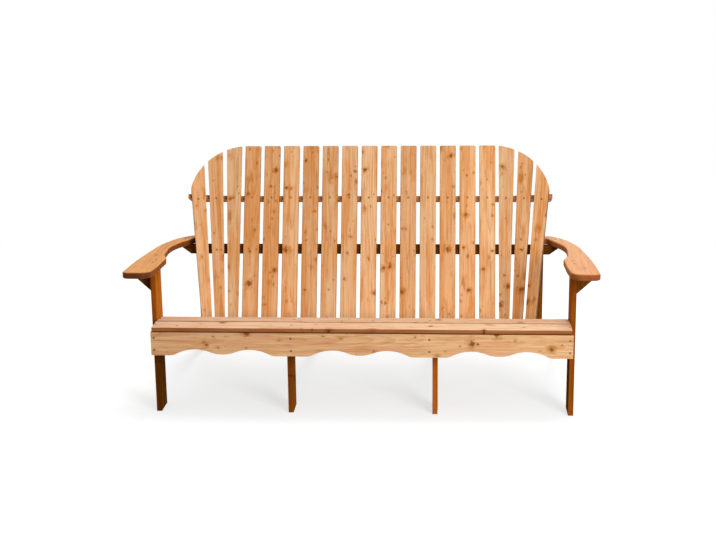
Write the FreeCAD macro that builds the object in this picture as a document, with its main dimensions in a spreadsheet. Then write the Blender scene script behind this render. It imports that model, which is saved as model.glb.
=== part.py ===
"""Slatted garden bench with a curved, fanned back and paddle arms.

Frame: X runs along the bench, -Y is the front and +Z is up. The origin is the
bottom centre of the whole bench: the feet stand on Z = 0, the bench is symmetric
about X = 0, and the arms' front edges and the stringers' heels end at equal
distances from Y = 0. The code measures Y from the apron's front face, and
every piece is then placed with that face at face_y.
"""
import FreeCAD, Part
import math
import os
import Sketcher

Vector = FreeCAD.Vector

# Driving dimensions in millimetres and degrees
SIZES = {
    "seat_width": 1592,
    "board_thickness": 20,
    "seat_frame_height": 363,
    "apron_drop": 3,
    "apron_height": 91.5,
    "apron_overhang": 2,
    "scallop_rise": 24.5,
    "scallop_lobe_rise": 5,
    "seat_slat_thickness": 18,
    "seat_slat_width": 86,
    "seat_slat_gap": 9,
    "seat_end_clearance": 4,
    "seat_nose_overhang": 6,
    "seat_nose_radius": 5,
    "seat_edge_radius": 3,
    "second_slat_angle": 6,
    "seat_slope_angle": 17,
    "seat_to_back_gap": 10,
    "stringer_depth": 90,
    "heel_front": 912,
    "heel_length": 50,
    "heel_bevel_run": 15,
    "heel_bevel_rise": 18,
    "leg_width": 98,
    "leg_setback": 118,
    "arm_height": 578,
    "arm_slope_angle": 0.9,
    "arm_thickness": 25,
    "arm_edge_radius": 7,
    "arm_lower_radius": 5,
    "arm_front_overhang": 40,
    "arm_outer_overhang": 72,
    "arm_tail_overhang": 42,
    "bracket_width": 60,
    "bracket_height": 100,
    "bracket_lip": 45,
    "arm_rail_height": 35,
    "arm_rail_top_width": 25,
    "arm_rail_end_inset": 6,
    "arm_rail_clip_run": 43,
    "arm_rail_clip_rise": 28,
    "post_inset": 70,
    "post_width": 34,
    "cross_rail_width": 90,
    "cross_rail_clearance": 5,
    "back_lean_angle": 21,
    "back_slat_thickness": 18,
    "back_slat_gap": 16,
    "back_slat_length": 749,
    "outer_slat_angle": 5.7,
    "outer_slat_foot_width": 42,
    "outer_slat_head_width": 58,
    "outer_slat_foot_gap": 13,
    "outer_slat_head_gap": 17,
    "crown_corner_radius": 240,
    "upper_rail_reach": 529,
    "upper_rail_depth": 45,
    "upper_rail_end_overhang": 14,
    "upper_rail_end_radius": 22,
    "rail_bevel_allowance": 0.6,
    "cut_overrun": 5,
}

# Counts and the number of turned slats on each side
STATION_COUNT = 4
BAY_COUNT = 3
SEAT_SLAT_COUNT = 5
STRAIGHT_SLAT_COUNT = 13
TURNED_SLAT_COUNT = 3

# How close two points are when they count as one
TOUCH = 1e-5

# How far the middle of a quarter arc lies inside its corner, as a share of the radius
CORNER_SHARE = 1 - math.sqrt(0.5)

# One bay's two arches, as shares of the bay's length: their whole width, the distance
# between their crests, and the part of a flank that its small shoulder arc takes
SCALLOP_SHARE = 0.775
CREST_SHARE = 0.39
SHOULDER_SHARE = 0.23

# The back slats' pitch and the crown's half width, as shares of the seat's width
SLAT_PITCH_SHARE = 0.0515
CROWN_SHARE = 0.471

# Paddle arm outline, anticlockwise on the right arm: shares of the width from
# the post's inner face to the outer edge, shares of the length from the front to
# the tail, and each corner's radius as a share of that width
ARM_CORNER_SHARES = [
    (0.459, 0.0, 0.245),
    (1.0, 0.0, 0.133),
    (0.980, 0.310, 17.0),
    (0.832, 0.710, 2.8),
    (0.624, 0.894, 1.4),
    (0.370, 0.984, 0.22),
    (0.0, 1.0, 0.0),
    (0.0, 0.912, 0.0),
    (0.245, 0.912, 0.041),
    (0.582, 0.696, 1.8),
    (0.520, 0.455, 0.32),
    (0.408, 0.361, 0.383),
    (0.416, 0.158, 2.5),
]

document = FreeCAD.newDocument("garden_bench")
sheet = document.addObject("Spreadsheet::Sheet", "Sizes")
for row, (alias, number) in enumerate(SIZES.items(), start=1):
    sheet.set("A%d" % row, alias)
    sheet.set("B%d" % row, str(number))
    sheet.setAlias("B%d" % row, alias)
document.recompute()


class Formula:
    """A length worked out from the sheet, with the expression that gives it."""

    def __init__(self, value, text):
        self.value = value
        self.text = text

    @staticmethod
    def of(other):
        if isinstance(other, Formula):
            return other
        return Formula(float(other), "(%r)" % float(other))

    def __add__(self, other):
        other = Formula.of(other)
        return Formula(self.value + other.value, "(%s + %s)" % (self.text, other.text))

    def __sub__(self, other):
        other = Formula.of(other)
        return Formula(self.value - other.value, "(%s - %s)" % (self.text, other.text))

    def __mul__(self, other):
        other = Formula.of(other)
        return Formula(self.value * other.value, "(%s * %s)" % (self.text, other.text))

    def __truediv__(self, other):
        other = Formula.of(other)
        return Formula(self.value / other.value, "(%s / %s)" % (self.text, other.text))

    def __neg__(self):
        return self * -1

    __radd__ = __add__


ZERO = Formula.of(0)


def size(alias):
    """The sheet's value under this alias, as a formula."""
    return Formula(float(sheet.get(alias)), "Sizes." + alias)


def sine(angle):
    return Formula(math.sin(math.radians(angle.value)), "sin(%s)" % angle.text)


def cosine(angle):
    return Formula(math.cos(math.radians(angle.value)), "cos(%s)" % angle.text)


def tangent(angle):
    return sine(angle) / cosine(angle)


def larger(first, second):
    return Formula(max(first.value, second.value), "max(%s; %s)" % (first.text, second.text))


class Frame:
    """A local frame: an origin as formulas and three axes as plain vectors."""

    def __init__(self, origin, along, up):
        self.origin = origin
        self.along = along
        self.up = up


def in_space(point):
    """A point measured from the apron's front face, in the bench's own frame."""
    return (Formula.of(point[0]), point[1] + face_y, Formula.of(point[2]))


def place(item, frame):
    """Put an object in a frame, its base bound to the sheet."""
    base = in_space(frame.origin)
    rotation = FreeCAD.Rotation(frame.along, frame.up, Vector(), "XYZ")
    item.Placement = FreeCAD.Placement(Vector(*[part.value for part in base]), rotation)
    for axis, part in zip("xyz", base):
        item.setExpression("Placement.Base." + axis, part.text)


def add_body(label):
    body = document.addObject("PartDesign::Body", label)
    body.Label = label
    return body


def add_sketch(body, role, name):
    """A sketch on one of the body's own origin planes."""
    sketch = body.newObject("Sketcher::SketchObject", name)
    plane = [item for item in body.Origin.OriginFeatures if item.Role == role][0]
    sketch.AttachmentSupport = [(plane, "")]
    sketch.MapMode = "FlatFace"
    return sketch


def pin(sketch, geometry, point, place_xy):
    """Hold one point of a sketch at a place worked out from the sheet."""
    for kind, part in zip(("DistanceX", "DistanceY"), place_xy):
        index = sketch.addConstraint(
            Sketcher.Constraint(kind, -1, 1, geometry, point, part.value))
        sketch.setExpression("Constraints[%d]" % index, part.text)


def flat(place_xy):
    return Vector(place_xy[0].value, place_xy[1].value, 0)


def draw_outline(sketch, outline):
    """Draw a closed outline of ("corner", x, y) and ("through", x, y) entries.

    Two corners in a row are joined by a line; a "through" entry between two
    corners makes the arc that passes through it.
    """
    count = len(outline)
    corners = [index for index in range(count) if outline[index][0] == "corner"]
    first = None
    previous = None
    for order, index in enumerate(corners):
        following = corners[(order + 1) % len(corners)]
        start = outline[index][1:]
        end = outline[following][1:]
        between = outline[(index + 1) % count]
        if between[0] == "through":
            middle = between[1:]
            arc = Part.Arc(flat(start), flat(middle), flat(end)).toShape().Curve
            centre = arc.Center
            turn = (flat(middle) - flat(start)).cross(flat(end) - flat(middle)).z
            geometry = sketch.addGeometry(Part.ArcOfCircle(
                Part.Circle(centre, Vector(0, 0, 1), arc.Radius),
                *arc_range(centre, flat(start), flat(end), turn)), False)
            start_point, end_point = (1, 2) if turn > 0 else (2, 1)
            marker = sketch.addGeometry(Part.Point(flat(middle)), True)
            pin(sketch, marker, 1, middle)
            sketch.addConstraint(Sketcher.Constraint("PointOnObject", marker, 1, geometry))
        else:
            geometry = sketch.addGeometry(Part.LineSegment(flat(start), flat(end)), False)
            start_point, end_point = 1, 2
        pin(sketch, geometry, start_point, start)
        if previous is not None:
            sketch.addConstraint(Sketcher.Constraint(
                "Coincident", previous[0], previous[1], geometry, start_point))
        else:
            first = (geometry, start_point)
        previous = (geometry, end_point)
    sketch.addConstraint(Sketcher.Constraint(
        "Coincident", previous[0], previous[1], first[0], first[1]))


def arc_range(centre, start, end, turn):
    """Start and end angles of an anticlockwise arc between two points."""
    first, last = (start, end) if turn > 0 else (end, start)
    begin = math.atan2(first.y - centre.y, first.x - centre.x)
    finish = math.atan2(last.y - centre.y, last.x - centre.x)
    if finish < begin:
        finish += 2 * math.pi
    return begin, finish


def pad(body, sketch, length, midplane=False):
    feature = body.newObject("PartDesign::Pad", sketch.Name + "_pad")
    feature.Profile = sketch
    feature.Midplane = midplane
    feature.setExpression("Length", length.text)
    body.Tip = feature
    document.recompute()
    return feature


def pocket(body, sketch, length):
    """Cut a sketch both ways through the body and make sure that it cuts."""
    before = body.Shape.Volume
    feature = body.newObject("PartDesign::Pocket", sketch.Name + "_pocket")
    feature.Profile = sketch
    feature.Midplane = True
    feature.setExpression("Length", length.text)
    body.Tip = feature
    document.recompute()
    if body.Shape.Volume >= before:
        raise RuntimeError("the pocket of %s removes nothing" % body.Label)
    return feature


def round_edges(body, radius, chosen):
    """Round the edges of the body's tip that the test picks."""
    base = body.Tip
    names = ["Edge%d" % (number + 1) for number, edge in enumerate(base.Shape.Edges)
             if chosen(edge)]
    feature = body.newObject("PartDesign::Fillet", body.Label + "_round")
    feature.Base = (base, names)
    feature.setExpression("Radius", radius.text)
    body.Tip = feature
    document.recompute()
    return feature


def boolean(kind, label, base, tool):
    """A finished piece made from a blank and a cutting or trimming shape."""
    base.Label = label + "_blank"
    piece = document.addObject(kind, label)
    piece.Base = base
    piece.Tool = tool
    piece.Label = label
    return piece


# Values that several pieces share
ALONG = Vector(1, 0, 0)
BACKWARD = Vector(0, 1, 0)
heel_end = size("heel_front") + size("heel_bevel_run") + size("heel_length")
arm_slope = size("arm_slope_angle")
arris_setback = size("arm_lower_radius") * (sine(arm_slope) + cosine(arm_slope) - 1)
face_y = (size("arm_front_overhang") - arris_setback - heel_end) / 2
board = size("board_thickness")
spacing = (size("seat_width") - board) / (STATION_COUNT - 1)
frame_top = size("seat_frame_height")
apron_top = frame_top - size("apron_drop")
apron_bottom = apron_top - size("apron_height")
lean = size("back_lean_angle")
slat_t = size("back_slat_thickness")
slat_pitch = size("seat_width") * SLAT_PITCH_SHARE
slat_width = slat_pitch - size("back_slat_gap")
overrun = size("cut_overrun")
run_outer = size("seat_width") / 2
leg_outer = run_outer + board
leg_front = size("leg_setback")
leg_rear = leg_front + size("leg_width")

# The stringer's top edge: one straight stretch for each seat slat, then one
# straight tail that lies square to the leaning back
slat_step = size("seat_slat_width") + size("seat_slat_gap")
first_end_y = size("seat_slat_width") - size("seat_nose_overhang") + size("seat_slat_gap") / 2
second_end_y = first_end_y + slat_step * cosine(size("second_slat_angle"))
second_end_z = frame_top - slat_step * sine(size("second_slat_angle"))
rear_run = slat_step * (SEAT_SLAT_COUNT - 2)
seat_end_y = second_end_y + rear_run * cosine(size("seat_slope_angle"))
seat_end_z = second_end_z - rear_run * sine(size("seat_slope_angle"))

# The back's own frame starts where the slats' front faces meet that tail
back_y = seat_end_y + size("seat_to_back_gap") * cosine(lean)
back_z = seat_end_z - size("seat_to_back_gap") * sine(lean)
UP_SLATS = Vector(0, sine(lean).value, cosine(lean).value)
DOWN_TAIL = Vector(0, cosine(lean).value, -sine(lean).value)


def on_back(x, behind, above):
    """A point of the back's frame, given behind and above its origin."""
    return (x,
            back_y + behind * cosine(lean) + above * sine(lean),
            back_z - behind * sine(lean) + above * cosine(lean))


def behind_slats(z):
    """Where the slats' rear faces stand at this height."""
    return back_y + (z - back_z) * tangent(lean) + slat_t / cosine(lean)


# The arms slope down from their front edge; the arm rail lies under them with
# its front face against the slats
arm_front_y = -size("arm_front_overhang")
arm_level = size("arm_height")
under_arm_at_zero = arm_level + arm_front_y * tangent(arm_slope)
rail_front_y = behind_slats(under_arm_at_zero) / (1 + tangent(lean) * tangent(arm_slope))
rail_rear_y = rail_front_y + size("arm_rail_top_width")
post_outer = run_outer - size("post_inset")
post_rear_y = rail_rear_y + board


def under_arm(y):
    """Height of the arms' lower face at this distance from the front."""
    return under_arm_at_zero - y * tangent(arm_slope)


def on_arm(x, along, above):
    """A point of the arms' frame, given along and above their lower front edge."""
    return (x,
            arm_front_y + along * cosine(arm_slope) + above * sine(arm_slope),
            arm_level - along * sine(arm_slope) + above * cosine(arm_slope))


ALONG_ARM = Vector(0, cosine(arm_slope).value, -sine(arm_slope).value)
piece_list = []


def finish(piece):
    piece_list.append(piece)
    return piece


# Front frame: the scalloped apron, four stringers and four front legs

def build_apron():
    """The front board, its lower edge cut in three bays of paired arches."""
    half = run_outer + size("apron_overhang")
    body = add_body("apron")
    sketch = add_sketch(body, "XZ_Plane", "apron_board")
    draw_outline(sketch, [
        ("corner", -half, apron_bottom), ("corner", half, apron_bottom),
        ("corner", half, apron_top), ("corner", -half, apron_top)])
    board_pad = pad(body, sketch, board)
    board_pad.Reversed = True
    scallop = add_sketch(body, "XZ_Plane", "apron_scallop")
    draw_outline(scallop, scallop_outline())
    cut = pocket(body, scallop, board * 2 + overrun)
    pattern = body.newObject("PartDesign::LinearPattern", "apron_bays")
    pattern.Originals = [cut]
    pattern.Direction = (scallop, ["H_Axis"])
    pattern.Mode = "Spacing"
    pattern.Occurrences = BAY_COUNT
    pattern.setExpression("Offset", spacing.text)
    body.Tip = pattern
    document.recompute()
    place(body, Frame((ZERO, ZERO, ZERO), ALONG, BACKWARD))
    return body


def scallop_outline():
    """One bay's opening: two arches with a low lobe between them."""
    middle = -spacing
    half = spacing * (SCALLOP_SHARE / 2)
    crest = spacing * (CREST_SHARE / 2)
    rise = size("scallop_rise")
    lobe = size("scallop_lobe_rise")
    shoulder = (half - crest) * SHOULDER_SHARE
    outline = []
    for side in (-1, 1):
        flank = [
            ("corner", half, ZERO),
            arc_point(half, ZERO, -shoulder, rise * SHOULDER_SHARE),
            ("corner", half - shoulder, rise * SHOULDER_SHARE),
            arc_point(crest, rise, half - shoulder - crest, rise * (SHOULDER_SHARE - 1)),
            ("corner", crest, rise),
            arc_point(crest, rise, -crest / 2, (lobe - rise) / 2),
            ("corner", crest / 2, (rise + lobe) / 2),
            arc_point(ZERO, lobe, crest / 2, (rise - lobe) / 2),
        ]
        if side < 0:
            flank = [(kind, -x, z) for kind, x, z in flank]
            outline += flank + [("corner", ZERO, lobe)]
        else:
            outline += flank[::-1]
    outline = [(kind, middle + x, apron_bottom + z) for kind, x, z in outline]
    return outline + [
        ("corner", middle + half, apron_bottom - overrun),
        ("corner", middle - half, apron_bottom - overrun)]


def arc_point(level_x, level_z, run, rise):
    """Middle point of an arc that starts level and ends at run and rise."""
    slope = math.atan2(abs(rise.value), abs(run.value))
    # the arc turns through twice the slope; its middle sees half of that turn
    share_run = math.sin(slope) / math.sin(2 * slope)
    share_rise = (1 - math.cos(slope)) / (1 - math.cos(2 * slope))
    return ("through", level_x + run * share_run, level_z + rise * share_rise)


def stringer_outline():
    """Side view of a stringer in Y and Z, from the apron to its heel."""
    front = board
    heel_end_z = seat_end_z - (heel_end - seat_end_y) * tangent(lean)
    return [
        ("corner", front, apron_bottom),
        ("corner", second_end_y, second_end_z - size("stringer_depth")),
        ("corner", size("heel_front"), size("heel_bevel_rise")),
        ("corner", size("heel_front") + size("heel_bevel_run"), ZERO),
        ("corner", heel_end, ZERO),
        ("corner", heel_end, heel_end_z),
        ("corner", seat_end_y, seat_end_z),
        ("corner", second_end_y, second_end_z),
        ("corner", first_end_y, frame_top),
        ("corner", front, frame_top)]


def build_stringer(number, middle_x):
    """A long sloping plank on edge that carries the seat and reaches the ground."""
    label = "stringer_%d" % number
    body = add_body(label)
    sketch = add_sketch(body, "YZ_Plane", label + "_side")
    draw_outline(sketch, stringer_outline())
    pad(body, sketch, board, midplane=True)
    place(body, Frame((middle_x, ZERO, ZERO), ALONG, BACKWARD))
    return body


def build_leg(number, side, stringer_x, top):
    """An upright plank on the outer face of a stringer, its top cut to a line."""
    label = "front_leg_%d" % number
    body = add_body(label)
    sketch = add_sketch(body, "YZ_Plane", label + "_side")
    draw_outline(sketch, [("corner", leg_front, ZERO), ("corner", leg_rear, ZERO)] +
                 [("corner", y, z) for y, z in top])
    pad(body, sketch, board, midplane=True)
    place(body, Frame((stringer_x + board * side, ZERO, ZERO), ALONG, BACKWARD))
    return body


def end_leg_top():
    """The end legs reach the arms' sloping lower faces."""
    return [(leg_rear, under_arm(leg_rear)), (leg_front, under_arm(leg_front))]


def middle_leg_top():
    """The middle legs are flush with the stringers and carry the seat too."""
    rear = second_end_z - (leg_rear - second_end_y) * tangent(size("seat_slope_angle"))
    front = frame_top - (leg_front - first_end_y) * tangent(size("second_slat_angle"))
    return [(leg_rear, rear), (second_end_y, second_end_z), (leg_front, front)]


# Seat: five boards that follow the stringers' top edges

def seat_slat_frames():
    """Where each seat slat's lower front edge lies, and its tilt."""
    half_gap = size("seat_slat_gap") / 2
    frames = [(-size("seat_nose_overhang"), frame_top, ZERO)]
    tilt = size("second_slat_angle")
    frames.append((
        first_end_y + half_gap * cosine(tilt), frame_top - half_gap * sine(tilt), tilt))
    slope = size("seat_slope_angle")
    for order in range(SEAT_SLAT_COUNT - 2):
        along = slat_step * order + half_gap
        frames.append((
            second_end_y + along * cosine(slope), second_end_z - along * sine(slope), slope))
    return frames


def seat_section(nose_radius):
    """A seat board's section: rounded upper edges, and a rounded nose if it has one."""
    width = size("seat_slat_width")
    thickness = size("seat_slat_thickness")
    radius = size("seat_edge_radius")
    section = [
        ("corner", width, ZERO),
        ("corner", width, thickness - radius),
        ("through", width - radius * CORNER_SHARE, thickness - radius * CORNER_SHARE),
        ("corner", width - radius, thickness),
        ("corner", radius, thickness),
        ("through", radius * CORNER_SHARE, thickness - radius * CORNER_SHARE),
        ("corner", ZERO, thickness - radius)]
    if nose_radius is None:
        return section + [("corner", ZERO, ZERO)]
    return section + [
        ("corner", ZERO, nose_radius),
        ("through", nose_radius * CORNER_SHARE, nose_radius * CORNER_SHARE),
        ("corner", nose_radius, ZERO)]


def build_seat_slat(number, frame):
    """One seat board; the last has its rear corners cut to clear the turned slats."""
    near_y, near_z, tilt = frame
    label = "seat_slat_%d" % number
    body = add_body(label)
    sketch = add_sketch(body, "YZ_Plane", label + "_section")
    draw_outline(sketch, seat_section(size("seat_nose_radius") if number == 1 else None))
    half = run_outer - size("seat_end_clearance")
    pad(body, sketch, half * 2, midplane=True)
    if number == SEAT_SLAT_COUNT:
        for side in (-1, 1):
            word = "left" if side < 0 else "right"
            clip = add_sketch(body, "XY_Plane", "%s_clip_%s" % (label, word))
            draw_outline(clip, seat_clip_outline(side, half))
            pocket(body, clip, size("seat_slat_thickness") * 2 + overrun)
    place(body, Frame((ZERO, near_y, near_z), ALONG,
                      Vector(0, cosine(tilt).value, -sine(tilt).value)))
    return body


def seat_clip_outline(side, half):
    """The rear corner of the last seat slat that makes room for the turned slats."""
    start = straight_half_width()
    end_x, depth = foot_chain()[-1][2]
    width = size("seat_slat_width")
    corners = [
        (start, width), (end_x, width - depth), (half + overrun, width - depth),
        (half + overrun, width + overrun), (start, width + overrun)]
    if side < 0:
        corners = [(-x, y) for x, y in corners][::-1]
    return [("corner", x, y) for x, y in corners]


# Back: straight slats in the middle, turned and tapered slats at the ends

def straight_half_width():
    """Distance from the middle to the outer edge of the last straight slat."""
    return slat_pitch * ((STRAIGHT_SLAT_COUNT - 1) / 2) + slat_width / 2


def turned_chain(width, gap):
    """Where the rear faces of the turned slats lie, as (x, forward) points.

    Each slat turns inward by one more step. It is given by the corner where its
    face meets that of the slat before it, its inner edge and its outer edge.
    """
    turn = size("outer_slat_angle")
    x = straight_half_width()
    forward = ZERO
    chain = []
    for order in range(1, TURNED_SLAT_COUNT + 1):
        opening = size("back_slat_gap") if order == 1 else gap
        reach = opening / (cosine(turn / 2) * 2)
        before = turn * (order - 1)
        after = turn * order
        corner = (x + reach * cosine(before), forward + reach * sine(before))
        inner = (corner[0] + reach * cosine(after), corner[1] + reach * sine(after))
        x = inner[0] + width * cosine(after)
        forward = inner[1] + width * sine(after)
        chain.append((corner, inner, (x, forward)))
    return chain


def foot_chain():
    return turned_chain(size("outer_slat_foot_width"), size("outer_slat_foot_gap"))


def head_chain():
    return turned_chain(size("outer_slat_head_width"), size("outer_slat_head_gap"))


def build_crown_template():
    """The back's outline, extruded: it trims the turned slats' ends."""
    reach = size("seat_width") * CROWN_SHARE
    radius = size("crown_corner_radius")
    top = size("back_slat_length")
    body = add_body("crown_template")
    sketch = add_sketch(body, "XY_Plane", "crown_outline")
    draw_outline(sketch, [
        ("corner", -reach, ZERO), ("corner", reach, ZERO),
        ("corner", reach, top - radius),
        ("through", reach - radius * CORNER_SHARE, top - radius * CORNER_SHARE),
        ("corner", reach - radius, top), ("corner", radius - reach, top),
        ("through", radius * CORNER_SHARE - reach, top - radius * CORNER_SHARE),
        ("corner", -reach, top - radius)])
    pad(body, sketch, spacing, midplane=True)
    place(body, Frame(on_back(ZERO, ZERO, ZERO), ALONG, UP_SLATS))
    return body


def build_straight_slat(number, middle_x):
    """One of the middle slats, a plain board square to the rails."""
    label = "back_slat_%02d" % number
    body = add_body(label)
    half = slat_width / 2
    sketch = add_sketch(body, "XY_Plane", label + "_face")
    draw_outline(sketch, [
        ("corner", -half, ZERO), ("corner", half, ZERO),
        ("corner", half, size("back_slat_length")), ("corner", -half, size("back_slat_length"))])
    pad(body, sketch, slat_t)
    place(body, Frame(on_back(middle_x, slat_t, ZERO), ALONG, UP_SLATS))
    return body


def build_turned_slat(number, side, order, template):
    """An end slat: tapered to its foot, turned inward and trimmed to the crown."""
    label = "back_slat_%02d" % number
    foot_inner = foot_chain()[order - 1][1]
    head_inner = head_chain()[order - 1][1]
    turn = size("outer_slat_angle") * order
    level = board / 2
    lift = size("upper_rail_reach") - level
    shift_x = head_inner[0] - foot_inner[0]
    shift_forward = head_inner[1] - foot_inner[1]
    across = shift_x * cosine(turn) + shift_forward * sine(turn)
    ahead = shift_forward * cosine(turn) - shift_x * sine(turn)
    rise = Formula(math.hypot(ahead.value, lift.value),
                   "sqrt(%s ^ 2 + %s ^ 2)" % (ahead.text, lift.text))
    foot_width = size("outer_slat_foot_width")
    head_width = size("outer_slat_head_width")
    below = -(level + overrun) / rise
    top = size("back_slat_length") / rise
    corners = []
    for width_share, height_share in ((0, below), (1, below), (1, top), (0, top)):
        left = across * height_share
        width = foot_width + (head_width - foot_width) * height_share
        corners.append((left + width * width_share, rise * height_share))
    if side < 0:
        corners = [(-x, y) for x, y in corners][::-1]
    body = add_body(label)
    sketch = add_sketch(body, "XY_Plane", label + "_face")
    draw_outline(sketch, [("corner", x, y) for x, y in corners])
    pad(body, sketch, slat_t)
    origin = on_back(foot_inner[0] * side, slat_t - foot_inner[1], level)
    place(body, turned_frame(origin, side, turn, ahead, lift))
    return boolean("Part::Common", label, body, template)


def turned_frame(origin, side, turn, ahead, lift):
    """Frame of a turned slat: its rear face lies on both rails' flats."""
    forward = DOWN_TAIL * -1
    along = ALONG * cosine(turn).value + forward * (sine(turn).value * side)
    facing = forward * cosine(turn).value - ALONG * (sine(turn).value * side)
    up = facing * ahead.value + UP_SLATS * lift.value
    return Frame(origin, along, up)


def rail_front_corners(chain, end_x, end_forward):
    """Front edge of a cross rail, from the left end to the right end.

    It has one straight stretch for each turned slat. There it stands a little
    proud, to be bevelled to the slats that lean across it.
    """
    proud = size("rail_bevel_allowance")
    right = [(chain[0][0][0], ZERO)]
    right += [(corner[0], corner[1] + proud) for corner, inner, outer in chain]
    right.append((end_x, end_forward + proud))
    left = [(-x, forward) for x, forward in right[::-1]]
    return [(x, slat_t - forward) for x, forward in left + right]


def build_lower_back_rail():
    """Cross rail flat on the stringers' tails that holds the slats' feet."""
    chain = foot_chain()
    turn = size("outer_slat_angle") * TURNED_SLAT_COUNT
    extra = size("outer_slat_foot_gap") / 2
    last_x = chain[-1][2][0] + extra * cosine(turn)
    last_forward = chain[-1][2][1] + extra * sine(turn)
    front = rail_front_corners(chain, last_x, last_forward)
    end_behind = front[0][1]
    rear = slat_t + size("cross_rail_width")
    body = add_body("lower_back_rail")
    sketch = add_sketch(body, "XY_Plane", "lower_back_rail_plan")
    draw_outline(sketch, [("corner", x, y) for x, y in front] +
                 [("corner", run_outer, end_behind), ("corner", run_outer, rear),
                  ("corner", -run_outer, rear), ("corner", -run_outer, end_behind)])
    pad(body, sketch, board)
    place(body, Frame(on_back(ZERO, ZERO, ZERO), ALONG, DOWN_TAIL))
    return body


def build_upper_back_rail():
    """Cross rail square to the slats, its front edge cut to the back's curve."""
    chain = head_chain()
    turn = size("outer_slat_angle") * TURNED_SLAT_COUNT
    extra = size("upper_rail_end_overhang")
    end_x = chain[-1][2][0] + extra * cosine(turn)
    end_forward = chain[-1][2][1] + extra * sine(turn)
    front = rail_front_corners(chain, end_x, end_forward)
    rear = slat_t + size("upper_rail_depth")
    radius = size("upper_rail_end_radius")
    body = add_body("upper_back_rail")
    sketch = add_sketch(body, "XY_Plane", "upper_back_rail_plan")
    draw_outline(sketch, [("corner", x, y) for x, y in front] + [
        ("corner", end_x, rear - radius),
        ("through", end_x - radius * CORNER_SHARE, rear - radius * CORNER_SHARE),
        ("corner", end_x - radius, rear), ("corner", radius - end_x, rear),
        ("through", radius * CORNER_SHARE - end_x, rear - radius * CORNER_SHARE),
        ("corner", -end_x, rear - radius)])
    pad(body, sketch, slat_t)
    above = size("upper_rail_reach") - slat_t / 2
    place(body, Frame(on_back(ZERO, ZERO, above), ALONG, DOWN_TAIL))
    return body


# Rear supports: the arm rail, its two posts and the rail that they stand on

def build_arm_rail():
    """Cross rail behind the slats; its front face follows their lean."""
    low = under_arm(rail_rear_y) - size("arm_rail_height")
    half = run_outer - size("arm_rail_end_inset")
    body = add_body("arm_rail")
    sketch = add_sketch(body, "YZ_Plane", "arm_rail_section")
    draw_outline(sketch, [
        ("corner", behind_slats(low), low), ("corner", rail_rear_y, low),
        ("corner", rail_rear_y, under_arm(rail_rear_y)),
        ("corner", rail_front_y, under_arm(rail_front_y))])
    pad(body, sketch, half * 2, midplane=True)
    for side, word in ((-1, "left"), (1, "right")):
        clip = add_sketch(body, "XZ_Plane", "arm_rail_clip_" + word)
        corners = [
            (half - size("arm_rail_clip_run"), low),
            (half, low + size("arm_rail_clip_rise")),
            (half + overrun, low + size("arm_rail_clip_rise")),
            (half + overrun, low - overrun),
            (half - size("arm_rail_clip_run"), low - overrun)]
        if side < 0:
            corners = [(-x, y) for x, y in corners][::-1]
        draw_outline(clip, [("corner", x, y) for x, y in corners])
        pocket(body, clip, (rail_rear_y + overrun) * 2)
    place(body, Frame((ZERO, ZERO, ZERO), ALONG, BACKWARD))
    return body


def tail_height(y, above):
    """Height above the ground over the stringers' tail at a given Y."""
    return back_z - (y - back_y) * tangent(lean) + above / cosine(lean)


def build_post(side):
    """Upright board behind the arm rail, its foot cut to the cross rail's slope."""
    label = "rear_post_%s" % ("left" if side < 0 else "right")
    body = add_body(label)
    sketch = add_sketch(body, "YZ_Plane", label + "_side")
    draw_outline(sketch, [
        ("corner", rail_rear_y, tail_height(rail_rear_y, board)),
        ("corner", post_rear_y, tail_height(post_rear_y, board)),
        ("corner", post_rear_y, under_arm(post_rear_y)),
        ("corner", rail_rear_y, under_arm(rail_rear_y))])
    pad(body, sketch, size("post_width"), midplane=True)
    middle = (post_outer - size("post_width") / 2) * side
    place(body, Frame((middle, ZERO, ZERO), ALONG, BACKWARD))
    return body


def build_rear_cross_rail():
    """Board flat on the stringers' tails under the posts, clear of the lower back rail."""
    middle_y = rail_rear_y + board / 2
    under_posts = (middle_y - back_y - board * sine(lean)) / cosine(lean) - size("cross_rail_width") / 2
    clear_of_rail = slat_t + size("cross_rail_width") + size("cross_rail_clearance")
    behind = larger(under_posts, clear_of_rail)
    rail = document.addObject("Part::Box", "rear_cross_rail")
    rail.setExpression("Length", (run_outer * 2).text)
    rail.setExpression("Width", size("cross_rail_width").text)
    rail.setExpression("Height", board.text)
    place(rail, Frame(on_back(-run_outer, behind, ZERO), ALONG, DOWN_TAIL))
    return rail


# Arms and the brackets under them

def build_arm(side):
    """A shaped paddle arm on the end leg, the arm rail and the post."""
    label = "arm_%s" % ("left" if side < 0 else "right")
    inner_x = post_outer - size("post_width")
    width = leg_outer + size("arm_outer_overhang") - inner_x
    length = post_rear_y + size("arm_tail_overhang") - arm_front_y
    body = add_body(label)
    sketch = add_sketch(body, "XY_Plane", label + "_plan")
    draw_outline(sketch, [
        ("corner", (inner_x + width * x_share) * side, length * y_share)
        for x_share, y_share, radius_share in ARM_CORNER_SHARES])
    document.recompute()
    for number, (x_share, y_share, radius_share) in enumerate(ARM_CORNER_SHARES):
        if radius_share:
            round_corner(sketch, number, width * radius_share)
    pad(body, sketch, size("arm_thickness"))
    round_edges(body, size("arm_edge_radius"), lies_at(size("arm_thickness").value))
    round_edges(body, size("arm_lower_radius"), lies_at(0))
    place(body, Frame(on_arm(ZERO, ZERO, ZERO), ALONG, ALONG_ARM))
    return body


def round_corner(sketch, number, radius):
    """Round the corner where this line of an outline starts."""
    sketch.fillet(number, 1, radius.value, True, True)
    arc = max(index for index, item in enumerate(sketch.Geometry)
              if item.TypeId == "Part::GeomArcOfCircle")
    index = sketch.addConstraint(Sketcher.Constraint("Radius", arc, radius.value))
    sketch.setExpression("Constraints[%d]" % index, radius.text)


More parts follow.
